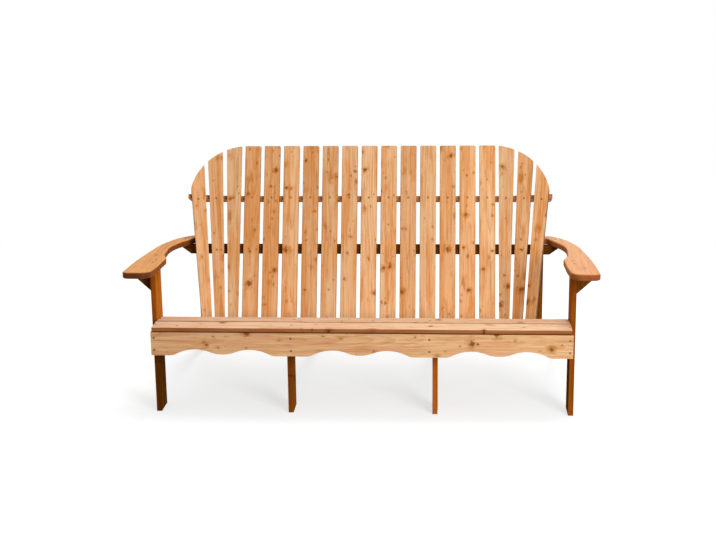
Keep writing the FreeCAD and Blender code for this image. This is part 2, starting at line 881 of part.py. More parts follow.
def lies_at(z):
    """A test for edges in the level plane at this height."""
    return lambda edge: all(abs(vertex.Z - z) < TOUCH for vertex in edge.Vertexes)


def build_bracket(side):
    """Corner bracket between an end leg's outer face and the arm above it."""
    label = "arm_bracket_%s" % ("left" if side < 0 else "right")
    width = size("bracket_width")
    corners = [
        (leg_outer, ZERO), (leg_outer, -size("bracket_height")),
        (leg_outer + width, -size("bracket_lip")), (leg_outer + width, ZERO)]
    if side < 0:
        corners = [(-x, z) for x, z in corners][::-1]
    body = add_body(label)
    sketch = add_sketch(body, "XZ_Plane", label + "_front")
    draw_outline(sketch, [("corner", x, z) for x, z in corners])
    pad(body, sketch, board, midplane=True)
    along = leg_front + size("leg_width") / 2 - arm_front_y
    place(body, Frame(on_arm(ZERO, along, ZERO), ALONG, ALONG_ARM))
    return body


# The whole bench

def station_places():
    """Where the stringers' middle planes stand."""
    return [spacing * (order - (STATION_COUNT - 1) / 2) for order in range(STATION_COUNT)]


def straight_slat_middles():
    """Where the middles of the straight back slats stand."""
    return [slat_pitch * (order - (STRAIGHT_SLAT_COUNT - 1) / 2)
            for order in range(STRAIGHT_SLAT_COUNT)]


def build_bench():
    """Build every piece and list it for export."""
    finish(build_apron())
    for number, x in enumerate(station_places(), start=1):
        side = 1 if x.value > 0 else -1
        finish(build_stringer(number, x))
        top = end_leg_top() if number in (1, STATION_COUNT) else middle_leg_top()
        finish(build_leg(number, side, x, top))
    for number, frame in enumerate(seat_slat_frames(), start=1):
        finish(build_seat_slat(number, frame))
    turned = build_turned_slats()
    for number, x in enumerate(straight_slat_middles(), start=TURNED_SLAT_COUNT + 1):
        finish(build_straight_slat(number, x))
    finish(trim_to_slats("upper_back_rail", build_upper_back_rail(), turned))
    finish(trim_to_slats("lower_back_rail", build_lower_back_rail(), turned))
    finish(build_rear_cross_rail())
    finish(build_arm_rail())
    for side in (-1, 1):
        finish(build_post(side))
        finish(build_arm(side))
        finish(build_bracket(side))


def build_turned_slats():
    """The slats at both ends of the back, all trimmed to one outline."""
    template = build_crown_template()
    turned = []
    for order in range(1, TURNED_SLAT_COUNT + 1):
        left = TURNED_SLAT_COUNT + 1 - order
        right = TURNED_SLAT_COUNT + STRAIGHT_SLAT_COUNT + order
        for number, side in ((left, -1), (right, 1)):
            turned.append(finish(build_turned_slat(number, side, order, template)))
    return turned


def trim_to_slats(label, rail, slats):
    """Bevel a rail's front edge to the slats that lean across it."""
    for slat in slats:
        rail = boolean("Part::Cut", label, rail, slat)
    return rail


def check_document():
    """Stop if any object failed or any finished shape is unsound."""
    for item in document.Objects:
        if "Invalid" in item.State or "Error" in item.State:
            raise RuntimeError("%s failed: %s" % (item.Label, item.State))
    for piece in piece_list:
        if piece.Shape.isNull() or not piece.Shape.isValid():
            raise RuntimeError("%s has no sound shape" % piece.Label)


def export_pieces():
    os.makedirs("parts", exist_ok=True)
    for piece in piece_list:
        piece.Shape.exportStep(os.path.join("parts", piece.Label + ".step"))
        box = piece.Shape.BoundBox
        print("%-20s solids %3d volume %11.1f  x %8.1f %8.1f  y %8.1f %8.1f  z %8.1f %8.1f" % (
            piece.Label, len(piece.Shape.Solids), piece.Shape.Volume,
            box.XMin, box.XMax, box.YMin, box.YMax, box.ZMin, box.ZMax))


build_bench()
document.recompute()
check_document()
export_pieces()
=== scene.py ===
"""Looks of a slatted garden bench: sanded softwood boards, screw heads and a pale studio.

The boards keep the shape that the frame gives them. Their arrises are eased, each board
gets wood of its own with fibres that run along it, and the screw heads are built here.
Lengths are in metres in the frame's own axes: X along the bench, -Y the front, +Z up.
"""
import logging
import math
import random
from abc import ABC, abstractmethod
from dataclasses import dataclass, replace
from enum import Enum

import bmesh
import bpy
from mathutils import Matrix, Vector


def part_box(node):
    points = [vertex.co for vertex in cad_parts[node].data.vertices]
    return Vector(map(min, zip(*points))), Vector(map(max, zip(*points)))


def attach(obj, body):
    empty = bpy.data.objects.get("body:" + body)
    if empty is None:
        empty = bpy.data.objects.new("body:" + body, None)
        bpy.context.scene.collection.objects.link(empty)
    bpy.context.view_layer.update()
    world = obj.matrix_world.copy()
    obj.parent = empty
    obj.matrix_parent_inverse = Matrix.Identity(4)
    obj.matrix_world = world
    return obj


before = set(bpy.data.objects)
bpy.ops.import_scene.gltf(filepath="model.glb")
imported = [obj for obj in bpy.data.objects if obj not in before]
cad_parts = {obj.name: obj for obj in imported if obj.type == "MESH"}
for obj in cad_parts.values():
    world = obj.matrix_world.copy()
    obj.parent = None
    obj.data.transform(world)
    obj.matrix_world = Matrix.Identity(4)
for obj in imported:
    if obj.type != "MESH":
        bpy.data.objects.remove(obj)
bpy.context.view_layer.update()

LOG = logging.getLogger("garden_bench")
IMAGE_WIDTH = 716

STRINGERS = 4
STRINGER_SPACING = 0.524
STATIONS = [STRINGER_SPACING * (order - (STRINGERS - 1) / 2) for order in range(STRINGERS)]
# The distance that is well clear of the bench, where lines that look for a face start
CLEAR = 1.0

Colour = tuple[float, float, float, float]
Triple = tuple[float, float, float]
Pair = tuple[float, float]
Source = bpy.types.NodeSocket | float | Colour | Triple


# Node wiring


@dataclass
class Wiring:
    """Adds nodes to one node tree and joins them."""

    tree: bpy.types.NodeTree

    def add(self, kind: str, **settings: object) -> bpy.types.Node:
        """Add one shader node.

        Args:
            kind: The node's type without its common start.
            **settings: Node properties to set.

        Returns:
            The new node.
        """
        node = self.tree.nodes.new("ShaderNode" + kind)
        for name, value in settings.items():
            setattr(node, name, value)
        return node

    def feed(self, target: bpy.types.NodeSocket, source: Source) -> None:
        """Give a socket a plain value or the output of another node.

        Args:
            target: The input socket.
            source: A value or an output socket.
        """
        if isinstance(source, bpy.types.NodeSocket):
            self.tree.links.new(source, target)
        else:
            target.default_value = source

    def math(self, operation: str, *values: Source) -> bpy.types.NodeSocket:
        """Work out a number from one to three others.

        Args:
            operation: The math node's operation.
            *values: Numbers or sockets.

        Returns:
            The result's socket.
        """
        node = self.add("Math", operation=operation)
        for target, source in zip(node.inputs, values):
            self.feed(target, source)
        return node.outputs["Value"]

    def scaled(self, vector: Source, scale: Triple) -> bpy.types.NodeSocket:
        """Multiply a vector part by part.

        Args:
            vector: The vector's socket.
            scale: A factor for each part.

        Returns:
            The result's socket.
        """
        node = self.add("VectorMath", operation="MULTIPLY")
        self.feed(node.inputs[0], vector)
        node.inputs[1].default_value = scale
        return node.outputs["Vector"]

    def parts(self, vector: Source) -> bpy.types.NodeOutputs:
        """Split a vector into sockets X, Y and Z.

        Args:
            vector: The vector's socket.

        Returns:
            The three sockets.
        """
        split = self.add("SeparateXYZ")
        self.feed(split.inputs[0], vector)
        return split.outputs

    def alignment(self, vector: Source, direction: Vector) -> bpy.types.NodeSocket:
        """Tell how far a vector lies along a direction.

        Args:
            vector: The vector's socket, of length 1.
            direction: The direction, of length 1.

        Returns:
            1 where they point the same way, 0 where they are square to each other and -1
            where they point opposite ways.
        """
        node = self.add("VectorMath", operation="DOT_PRODUCT")
        self.feed(node.inputs[0], vector)
        node.inputs[1].default_value = direction
        return node.outputs["Value"]

    def ramp(self, value: Source, low: Source, high: Source) -> bpy.types.NodeSocket:
        """Rise smoothly from 0 at one value to 1 at another.

        Args:
            value: The number that is judged.
            low: Where the result is 0.
            high: Where the result is 1.

        Returns:
            The result's socket.
        """
        node = self.add("MapRange", interpolation_type="SMOOTHSTEP")
        for name, source in (("Value", value), ("From Min", low), ("From Max", high)):
            self.feed(node.inputs[name], source)
        return node.outputs["Result"]

    def noise(self, vector: Source, detail: float, roughness: float = 0.5
              ) -> bpy.types.NodeSocket:
        """Smooth noise with features about one unit wide.

        Args:
            vector: Where the noise is read.
            detail: How many finer layers it has.
            roughness: How strong the finer layers are.

        Returns:
            The noise value's socket, around 0.5.
        """
        node = self.add("TexNoise")
        self.feed(node.inputs["Vector"], vector)
        node.inputs["Scale"].default_value = 1.0
        node.inputs["Detail"].default_value = detail
        node.inputs["Roughness"].default_value = roughness
        return node.outputs["Fac"]

    def mix(self, share: Source, first: Source, second: Source, blend: str = "MIX"
            ) -> bpy.types.NodeSocket:
        """Blend two colours.

        Args:
            share: How much of the second colour there is.
            first: The colour at 0.
            second: The colour at 1.
            blend: The mix node's way of blending.

        Returns:
            The blended colour's socket.
        """
        node = self.add("Mix", data_type="RGBA", blend_type=blend)
        # The node's colour sockets bear the names of its number sockets, so they go by index
        for index, source in ((0, share), (6, first), (7, second)):
            self.feed(node.inputs[index], source)
        return node.outputs[2]

    def group(self, tree: bpy.types.NodeTree, **values: Source) -> bpy.types.NodeOutputs:
        """Place a node group and fill its inputs.

        Args:
            tree: The group's own tree.
            **values: Input values by name, with _ for a space.

        Returns:
            The group's output sockets.
        """
        node = self.add("Group", node_tree=tree)
        for name, source in values.items():
            self.feed(node.inputs[name.replace("_", " ")], source)
        return node.outputs


class SocketKind(Enum):
    """Kinds of socket that a node group can have."""

    NUMBER = "NodeSocketFloat"
    VECTOR = "NodeSocketVector"
    COLOUR = "NodeSocketColor"


def open_group(name: str, inputs: dict[str, SocketKind], outputs: dict[str, SocketKind]
               ) -> tuple[Wiring, bpy.types.NodeOutputs, bpy.types.NodeInputs]:
    """Start a node group with named sockets.

    Args:
        name: The group's name.
        inputs: Its input names and kinds.
        outputs: Its output names and kinds.

    Returns:
        The group's wiring, the sockets that its inputs arrive on, and those that its
        outputs leave by.
    """
    tree = bpy.data.node_groups.new(name, "ShaderNodeTree")
    for way, sockets in (("INPUT", inputs), ("OUTPUT", outputs)):
        for label, kind in sockets.items():
            tree.interface.new_socket(label, in_out=way, socket_type=kind.value)
    arriving = tree.nodes.new("NodeGroupInput")
    leaving = tree.nodes.new("NodeGroupOutput")
    return Wiring(tree), arriving.outputs, leaving.inputs


# Wood effects


@dataclass(frozen=True)
class FibreLayer:
    """One layer of noise that is stretched along a board, in features per metre."""

    lengthwise: float
    crosswise: float
    detail: float
    roughness: float = 0.5


@dataclass(frozen=True)
class Stain:
    """How a layer of fibres turns the wood towards another colour."""

    layer: str
    span: Pair
    strength: float
    colour: str


@dataclass(frozen=True)
class KnotKind:
    """One kind of knot: its spacing and radii, how common it is and how short along the board."""

    spacing: float
    smallest: float
    largest: float
    commonness: float
    shortening: float


FIBRE_LAYERS = {
    "Fine": FibreLayer(16, 620, 2.0),
    "Streak": FibreLayer(3.2, 130, 3.0, 0.6),
    "Band": FibreLayer(2.1, 34, 2.0, 0.55),
    "Cloud": FibreLayer(10, 72, 3.0, 0.6),
    "Patch": FibreLayer(5, 26, 3.0, 0.6),
}
# The first lies under the late wood, the others over it
STAINS = (
    Stain("Band", (0.44, 0.6), 0.9, "Blush"),
    Stain("Streak", (0.48, 0.72), 0.6, "Late"),
    Stain("Cloud", (0.52, 0.7), 0.6, "Late"),
    Stain("Patch", (0.52, 0.66), 0.6, "Pale"))
LARGE_KNOTS = KnotKind(
    spacing=0.115, smallest=0.0035, largest=0.0125, commonness=1.0, shortening=1.1)
PIN_KNOTS = KnotKind(
    spacing=0.044, smallest=0.0021, largest=0.0056, commonness=0.75, shortening=0.75)
SMEARS = KnotKind(spacing=0.14, smallest=0.006, largest=0.014, commonness=0.9, shortening=1.0)


@dataclass(frozen=True)
class WoodLook:
    """How strongly each effect shows in sanded softwood.

    A span is where a mask rises from 0 to 1, a line is a slope and a start value, and a
    scale is in features per metre.
    """

    knot_rarity: float = 1.9
    knot_ripple: float = 3.2
    knot_ripple_scale: Triple = (70, 90, 90)
    core_span: Pair = (0.45, 1.15)
    halo_span: Pair = (0.7, 3.0)
    ring_sway: float = 0.055
    ring_sway_scales: tuple[Triple, Triple] = ((1.5, 7, 7), (1.1, 5, 5))
    late_steepness: float = 2.2
    late_end_span: Pair = (0.9, 1.0)
    late_line: Pair = (0.9, 0.15)
    ringed_knot_share: float = 0.15
    smear_span: Pair = (0.42, 0.6)
    smear_strength: float = 0.8
    pin_halo_strength: float = 0.5
    swirl_span: Pair = (0.3, 0.6)
    pin_knot_share: float = 0.35
    pin_strength: float = 0.85
    knot_strength: float = 0.92
    # Spans of the edge colour on edges and end grain, partly their real darker grain and partly
    # painted shade
    face_span: Pair = (0.3, 0.97)
    end_span: Pair = (0.25, 0.75)
    end_strength: float = 0.7
    # Where downward faces take the edge colour as painted shade
    underside_shade_span: Pair = (0.1, -0.4)
    light_line: Pair = (0.3, 0.85)
    roughness_line: Pair = (0.2, 0.46)
    late_roughness: float = -0.08
    late_height: float = 0.6
    knot_height: float = -0.4


class WoodEffects:
    """The node groups that every board's material shares, built once."""

    def __init__(self, look: WoodLook) -> None:
        """Build the groups.

        Args:
            look: How strongly each effect shows.
        """
        self.look = look
        self.fibres = self._fibres()
        self.knots = self._knots()
        self.rings = self._rings()
        self.softwood = self._softwood()

    def _fibres(self) -> bpy.types.NodeTree:
        """Streaks along a board, from single fibres to broad bands.

        Returns:
            The group's tree.
        """
        wiring, given, wanted = open_group(
            "board_fibres", {"Board": SocketKind.VECTOR},
            {name: SocketKind.NUMBER for name in FIBRE_LAYERS})
        for name, layer in FIBRE_LAYERS.items():
            scale = (layer.lengthwise, layer.crosswise, layer.crosswise)
            place = wiring.scaled(given["Board"], scale)
            wiring.feed(wanted[name], wiring.noise(place, layer.detail, layer.roughness))
        return wiring.tree

    def _knots(self) -> bpy.types.NodeTree:
        """Knots scattered over a board's face, each with a darker ring of grain around it.

        Returns:
            The group's tree.
        """
        numbers = ("Spacing", "Smallest", "Largest", "Share", "Shortening")
        wiring, given, wanted = open_group(
            "board_knots",
            {"Board": SocketKind.VECTOR} | {name: SocketKind.NUMBER for name in numbers},
            {name: SocketKind.NUMBER for name in ("Core", "Halo", "Bulge")})
        board = wiring.parts(given["Board"])
        along = wiring.math("MULTIPLY", board["X"], given["Shortening"])
        join = wiring.add("CombineXYZ")
        wiring.feed(join.inputs["X"], wiring.math("DIVIDE", along, given["Spacing"]))
        wiring.feed(join.inputs["Y"], wiring.math("DIVIDE", board["Y"], given["Spacing"]))
        cells = wiring.add("TexVoronoi", voronoi_dimensions="2D", feature="F1")
        wiring.feed(cells.inputs["Vector"], join.outputs["Vector"])
        cells.inputs["Scale"].default_value = 1.0
        luck = wiring.add("SeparateColor")
        wiring.feed(luck.inputs["Color"], cells.outputs["Color"])
        span = wiring.math("SUBTRACT", given["Largest"], given["Smallest"])
        bigger = wiring.math("POWER", luck.outputs["Red"], self.look.knot_rarity)
        radius = wiring.math("MULTIPLY_ADD", span, bigger, given["Smallest"])
        ripple = wiring.noise(wiring.scaled(given["Board"], self.look.knot_ripple_scale), 2.0)
        ripple = wiring.math("MULTIPLY", wiring.math("SUBTRACT", ripple, 0.5), radius)
        away = wiring.math("MULTIPLY", cells.outputs["Distance"], given["Spacing"])
        distance = wiring.math("MULTIPLY_ADD", ripple, self.look.knot_ripple, away)
        radii_away = wiring.math("DIVIDE", distance, radius)
        present = wiring.math("LESS_THAN", luck.outputs["Blue"], given["Share"])
        masks = {}
        for name, mask_span in (("Core", self.look.core_span), ("Halo", self.look.halo_span)):
            inside = wiring.math("SUBTRACT", 1.0, wiring.ramp(radii_away, *mask_span))
            masks[name] = wiring.math("MULTIPLY", inside, present)
            wiring.feed(wanted[name], masks[name])
        wiring.feed(wanted["Bulge"], wiring.math("MULTIPLY", masks["Halo"], radius))
        return wiring.tree

    def _rings(self) -> bpy.types.NodeTree:
        """Growth rings around a pith line beside the board, cut into long figures.

        Returns:
            The group's tree.
        """
        wiring, given, wanted = open_group(
            "growth_rings",
            {"Board": SocketKind.VECTOR, "Spacing": SocketKind.NUMBER,
             "Sway": SocketKind.NUMBER, "Bulge": SocketKind.NUMBER},
            {"Late": SocketKind.NUMBER})
        board = wiring.parts(given["Board"])
        squares = []
        for part, scale in zip("YZ", self.look.ring_sway_scales):
            swing = wiring.noise(wiring.scaled(given["Board"], scale), 1.0)
            swing = wiring.math("SUBTRACT", swing, 0.5)
            shifted = wiring.math("MULTIPLY_ADD", swing, given["Sway"], board[part])
            squares.append(wiring.math("MULTIPLY", shifted, shifted))
        reach = wiring.math("SQRT", wiring.math("ADD", *squares))
        reach = wiring.math("ADD", reach, given["Bulge"])
        ring = wiring.math("FRACT", wiring.math("DIVIDE", reach, given["Spacing"]))
        rise = wiring.math("POWER", ring, self.look.late_steepness)
        fall = wiring.math("SUBTRACT", 1.0, wiring.ramp(ring, *self.look.late_end_span))
        wiring.feed(wanted["Late"], wiring.math("MULTIPLY", rise, fall))
        return wiring.tree

    def _softwood(self) -> bpy.types.NodeTree:
        """Sanded softwood: a pale ground under coats of stain, late wood and knots, with edges
        darkened partly by their grain and partly as painted shade, and undersides as painted
        shade.

        Returns:
            The group's tree.
        """
        look = self.look
        colours = ("Pale", "Late", "Blush", "Knot", "Edge")
        numbers = ("Ring Spacing", "Knot Share", "Tone", "Facing", "Ending", "Underside")
        wiring, given, wanted = open_group(
            "sanded_softwood",
            {"Board": SocketKind.VECTOR} | {name: SocketKind.COLOUR for name in colours}
            | {name: SocketKind.NUMBER for name in numbers},
            {"Color": SocketKind.COLOUR, "Roughness": SocketKind.NUMBER,
             "Height": SocketKind.NUMBER})
        fibres = wiring.group(self.fibres, Board=given["Board"])
        large, pins, smears = [
            wiring.group(self.knots, Board=given["Board"], Spacing=kind.spacing,
                         Smallest=kind.smallest, Largest=kind.largest,
                         Share=wiring.math("MULTIPLY", given["Knot Share"], kind.commonness),
                         Shortening=kind.shortening)
            for kind in (LARGE_KNOTS, PIN_KNOTS, SMEARS)]
        rings = wiring.group(
            self.rings, Board=given["Board"], Spacing=given["Ring Spacing"],
            Sway=look.ring_sway, Bulge=wiring.math("ADD", large["Bulge"], pins["Bulge"]))
        broad, *stains = [
            (wiring.ramp(fibres[stain.layer], *stain.span), stain.strength,
             given[stain.colour]) for stain in STAINS]
        ringed, pin = [wiring.mix(share, given["Late"], given["Knot"])
                       for share in (look.ringed_knot_share, look.pin_knot_share)]
        streaks = wiring.math("MULTIPLY_ADD", fibres["Streak"], *look.late_line)
        smear = wiring.math("MULTIPLY", smears["Halo"],
                            wiring.ramp(fibres["Cloud"], *look.smear_span))
        around = wiring.math("MAXIMUM", large["Halo"], wiring.math(
            "MULTIPLY", pins["Halo"], look.pin_halo_strength))
        colour = given["Pale"]
        for mask, strength, tint in (
                broad, (rings["Late"], streaks, given["Late"]), *stains,
                (smear, look.smear_strength, ringed),
                (around, wiring.ramp(fibres["Cloud"], *look.swirl_span), ringed),
                (pins["Core"], look.pin_strength, pin),
                (large["Core"], look.knot_strength, given["Knot"])):
            colour = wiring.mix(wiring.math("MULTIPLY", mask, strength), colour, tint)
        # Edges turned from the broad face and end grain take the edge colour, partly as their
        # real darker grain and partly as painted shade; faces turned downward take it as painted
        # shade.
        flatness, across = [wiring.math("ABSOLUTE", given[name]) for name in ("Facing", "Ending")]
        turned = wiring.math("SUBTRACT", 1.0, wiring.ramp(flatness, *look.face_span))
        for mask, strength in (
                (turned, 1.0), (wiring.ramp(across, *look.end_span), look.end_strength),
                (wiring.ramp(given["Facing"], *look.underside_shade_span), given["Underside"])):
            share = wiring.math("MULTIPLY", mask, strength)
            colour = wiring.mix(share, colour, given["Edge"], "MULTIPLY")
        # The tone input carries each board's random tone and its painted light and shade.
        light = wiring.math("MULTIPLY_ADD", fibres["Fine"], *look.light_line)
        shade = wiring.add("HueSaturation")
        wiring.feed(shade.inputs["Color"], colour)
        wiring.feed(shade.inputs["Value"], wiring.math("MULTIPLY", light, given["Tone"]))
        wiring.feed(wanted["Color"], shade.outputs["Color"])
        sheen = wiring.math("MULTIPLY_ADD", fibres["Fine"], *look.roughness_line)
        wiring.feed(wanted["Roughness"], wiring.math(
            "MULTIPLY_ADD", rings["Late"], look.late_roughness, sheen))
        height = wiring.math("MULTIPLY_ADD", rings["Late"], look.late_height, fibres["Fine"])
        core = wiring.math("MAXIMUM", large["Core"], pins["Core"])
        wiring.feed(wanted["Height"], wiring.math(
            "MULTIPLY_ADD", core, look.knot_height, height))
        return wiring.tree


# Finishes


@dataclass(frozen=True)
class Lay:
    """How a board lies: directions along its fibres and across its face."""

    along: Triple
    across: Triple

    def turn(self) -> Matrix:
        """The rotation from the frame's axes to the board's own.

        Returns:
            A matrix whose rows are the board's three directions.
        """
        along = Vector(self.along).normalized()
        through = along.cross(Vector(self.across)).normalized()
        return Matrix((along, through.cross(along), through))


class Grain(Enum):
    """Lays that several boards share."""

    ALONG_FRONT = Lay((1, 0, 0), (0, 0, 1))
    ALONG_DECK = Lay((1, 0, 0), (0, 1, 0))
    UPRIGHT_SIDE = Lay((0, 0, 1), (0, 1, 0))
    UPRIGHT_FRONT = Lay((0, 0, 1), (1, 0, 0))
    FRONT_TO_BACK = Lay((0, 1, 0), (1, 0, 0))


def blended(first: Colour, second: Colour, share: float) -> Colour:
    """Blend two plain colours.

    Args:
        first: The colour at a share of 0.
        second: The colour at a share of 1.
        share: How much of the second there is.

    Returns:
        The blended colour.
    """
    return tuple(a + (b - a) * share for a, b in zip(first, second))


# Where a board's pith line may run: along it (which picks its place in the endless tree),
# across it and below its face
PITH_SPANS = ((3, 60), (-0.03, 0.03), (0.018, 0.06))
RING_SPREAD = (0.8, 1.5)
KNOT_SPREAD = (0.5, 1.4)
BLUSH_TINT = 0.5
# Where a board's near-end tone turns into its far-end tone, from its middle; these tones paint
# light and shade
TONE_CHANGE = (-0.04, 0.08)
BUMP_STRENGTH = 0.5
BUMP_DEPTH = 0.0004


@dataclass(frozen=True)
class SoftwoodFinish:
    """One tone of bare, sanded softwood."""

    slot: str
    pale: Colour
    late: Colour
    blush: Colour
    knot: Colour
    knot_share: float = 0.5
    ring_spacing: float = 0.0042
    tone_spread: float = 0.06
    tint_spread: float = 0.5
    # Multiplied into edges and end grain, partly as their real darker grain and partly as painted
    # shade
    edge: Colour = (0.72, 0.58, 0.45, 1)
    # How strongly downward faces take the edge colour as painted shade
    underside_shade: float = 0.0
    shine: float = 0.2

    def make(self, board: str, lay: Lay, light_and_shade_tones: Pair, effects: WoodEffects
             ) -> bpy.types.Material:
        """Make the wood of one board, cut from its own place in a tree.

        Args:
            board: The board's name, which also seeds its place.
            lay: How the board lies.
            light_and_shade_tones: How light this board is beside the others, at its near and its
                far end; painted light and shade.
            effects: The shared node groups.

        Returns:
            The board's material.
        """
        chance = random.Random("bench " + board)
        pith = Vector([chance.uniform(*span) for span in PITH_SPANS])
        spread = 1 + self.tone_spread * chance.uniform(-1, 1)
        tint = chance.uniform(0, self.tint_spread)
        ring_spacing = self.ring_spacing * chance.uniform(*RING_SPREAD)
        knot_share = self.knot_share * chance.uniform(*KNOT_SPREAD)
        material = bpy.data.materials.new(board + "_" + self.slot)
        material.use_nodes = True
        wiring = Wiring(material.node_tree)
        shader = material.node_tree.nodes["Principled BSDF"]
        place = wiring.add("TexCoord")
        mapping = wiring.add("Mapping")
        wiring.feed(mapping.inputs["Vector"], place.outputs["Object"])
        turn = lay.turn()
        low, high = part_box(board)
        mapping.inputs["Rotation"].default_value = turn.to_euler()
        mapping.inputs["Location"].default_value = pith - turn @ ((low + high) / 2)
        along, _, through = turn
        # The board's tones are painted light and shade, eased from its near end to its far end.
        far = wiring.ramp(wiring.parts(mapping.outputs["Vector"])["X"],
                          *(pith.x + change for change in TONE_CHANGE))
        near_lighting_tone, far_lighting_tone = (tone * spread for tone in light_and_shade_tones)
        wood = wiring.group(
            effects.softwood, Board=mapping.outputs["Vector"],
            Facing=wiring.alignment(place.outputs["Normal"], through),
            Ending=wiring.alignment(place.outputs["Normal"], along),
            Underside=self.underside_shade,
            Pale=blended(self.pale, self.blush, tint), Late=self.late,
            Blush=blended(self.blush, self.late, tint * BLUSH_TINT),
            Knot=self.knot, Edge=self.edge, Ring_Spacing=ring_spacing, Knot_Share=knot_share,
            Tone=wiring.math("MULTIPLY_ADD", far, far_lighting_tone - near_lighting_tone, near_lighting_tone))
        bump = wiring.add("Bump")
        bump.inputs["Strength"].default_value = BUMP_STRENGTH
        bump.inputs["Distance"].default_value = BUMP_DEPTH
        wiring.feed(bump.inputs["Height"], wood["Height"])
        wiring.feed(shader.inputs["Base Color"], wood["Color"])
        wiring.feed(shader.inputs["Roughness"], wood["Roughness"])
        wiring.feed(shader.inputs["Normal"], bump.outputs["Normal"])
        shader.inputs["Specular IOR Level"].default_value = self.shine
        return material


@dataclass(frozen=True)
class ScrewFinish:
    """Dull bronzed steel with a little tarnish."""

    bright: Colour = (0.27, 0.11, 0.04, 1.0)
    dark: Colour = (0.10, 0.038, 0.014, 1.0)
    blotch_scale: Triple = (420, 420, 420)
    worn_span: Pair = (0.35, 0.7)
    roughness_line: Pair = (0.3, 0.45)
    shine: float = 0.06

    def make(self) -> bpy.types.Material:
        """Make the finish of every screw head.

        Returns:
            The material.
        """
        material = bpy.data.materials.new("bronzed_screw_steel")
        material.use_nodes = True
        wiring = Wiring(material.node_tree)
        shader = material.node_tree.nodes["Principled BSDF"]
        place = wiring.add("TexCoord")
        blotch = wiring.noise(wiring.scaled(place.outputs["Object"], self.blotch_scale), 3.0)
        worn = wiring.ramp(blotch, *self.worn_span)
        wiring.feed(shader.inputs["Base Color"], wiring.mix(worn, self.dark, self.bright))
        rough = wiring.math("MULTIPLY_ADD", blotch, *self.roughness_line)
        wiring.feed(shader.inputs["Roughness"], rough)
        shader.inputs["Specular IOR Level"].default_value = self.shine
        return material


# Each edge colour darkens edges and end grain partly as real grain and partly as painted shade;
# the apron's dark one paints shade along its eased arrises.
APRON_WOOD = SoftwoodFinish(
    "apron_wood", pale=(0.94, 0.57, 0.29, 1), late=(0.64, 0.27, 0.08, 1),
    blush=(0.86, 0.44, 0.23, 1), knot=(0.24, 0.075, 0.008, 1), edge=(0.3, 0.19, 0.12, 1))
# The front seat board's edge colour and underside share paint shade on and under its nose.
SEAT_WOOD = SoftwoodFinish(
    "seat_wood", pale=(0.84, 0.58, 0.37, 1), late=(0.56, 0.26, 0.10, 1),
    blush=(0.77, 0.45, 0.28, 1), knot=(0.20, 0.055, 0.008, 1), knot_share=0.35,
    edge=(0.52, 0.30, 0.14, 1), underside_shade=1.0)
# The other seat boards' near-black edge colour paints shade in the gaps between them.
GAP_SHADED_DECK_WOOD = replace(SEAT_WOOD, edge=(0.16, 0.07, 0.03, 1))
BACK_WOOD = SoftwoodFinish(
    "back_wood", pale=(0.69, 0.44, 0.235, 1), late=(0.47, 0.15, 0.012, 1),
    blush=(0.66, 0.30, 0.11, 1), knot=(0.20, 0.055, 0.004, 1), knot_share=0.65,
    edge=(0.5, 0.43, 0.4, 1))
# The left arm's dark edge colour paints shade on its front edge; the right arm's copy darkens its
# edge less, as that edge stands in the light.
SHADED_EDGE_ARM_WOOD = SoftwoodFinish(
    "arm_wood", pale=(0.74, 0.36, 0.095, 1), late=(0.52, 0.17, 0.02, 1),
    blush=(0.66, 0.28, 0.075, 1), knot=(0.16, 0.038, 0.004, 1), knot_share=0.1,
    edge=(0.32, 0.20, 0.10, 1))
LIT_EDGE_ARM_WOOD = replace(
    SHADED_EDGE_ARM_WOOD, pale=(0.63, 0.31, 0.115, 1), blush=(0.57, 0.24, 0.095, 1),
    edge=(0.66, 0.46, 0.3, 1))
FRAME_WOOD = SoftwoodFinish(
    "frame_wood", pale=(0.47, 0.160, 0.018, 1), late=(0.275, 0.070, 0.005, 1),
    blush=(0.385, 0.113, 0.011, 1), knot=(0.07, 0.016, 0.002, 1), knot_share=0.3,
    edge=(0.75, 0.62, 0.45, 1), shine=0.0)
RAIL_WOOD = SoftwoodFinish(
    "frame_wood", pale=(0.72, 0.37, 0.13, 1), late=(0.48, 0.18, 0.035, 1),
    blush=(0.64, 0.29, 0.085, 1), knot=(0.14, 0.034, 0.004, 1), edge=(0.6, 0.5, 0.4, 1),
    shine=0.1)


# Pieces


@dataclass
class Board:
    """One sawn board of the frame, with its arrises and its wood."""

    node: str
    lay: Lay
    finish: SoftwoodFinish
    arris: float = 0.0016
    # Painted light and shade on this board, at its near and its far end
    light_and_shade_tones: Pair = (1.0, 1.0)
    same_point: float = 1e-6
    arris_segments: int = 2
    arris_angle: float = 35.0

    def ease(self) -> None:
        """Take the sharpness off the board's arrises."""
        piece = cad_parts[self.node]
        weld = piece.modifiers.new("one_skin", "WELD")
        weld.merge_threshold = self.same_point
        if self.arris > 0:
            bevel = piece.modifiers.new("eased_arrises", "BEVEL")
            bevel.width = self.arris
            bevel.segments = self.arris_segments
            bevel.limit_method = "ANGLE"
            bevel.angle_limit = math.radians(self.arris_angle)
            bevel.miter_outer = "MITER_ARC"
            normals = piece.modifiers.new("even_faces", "WEIGHTED_NORMAL")
            normals.keep_sharp = False

    def dress(self, effects: WoodEffects) -> None:
        """Give the board its own wood.

        Args:
            effects: The shared node groups.
        """
        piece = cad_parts[self.node]
        piece.data.materials.clear()
        piece.data.materials.append(self.finish.make(self.node, self.lay, self.light_and_shade_tones, effects))


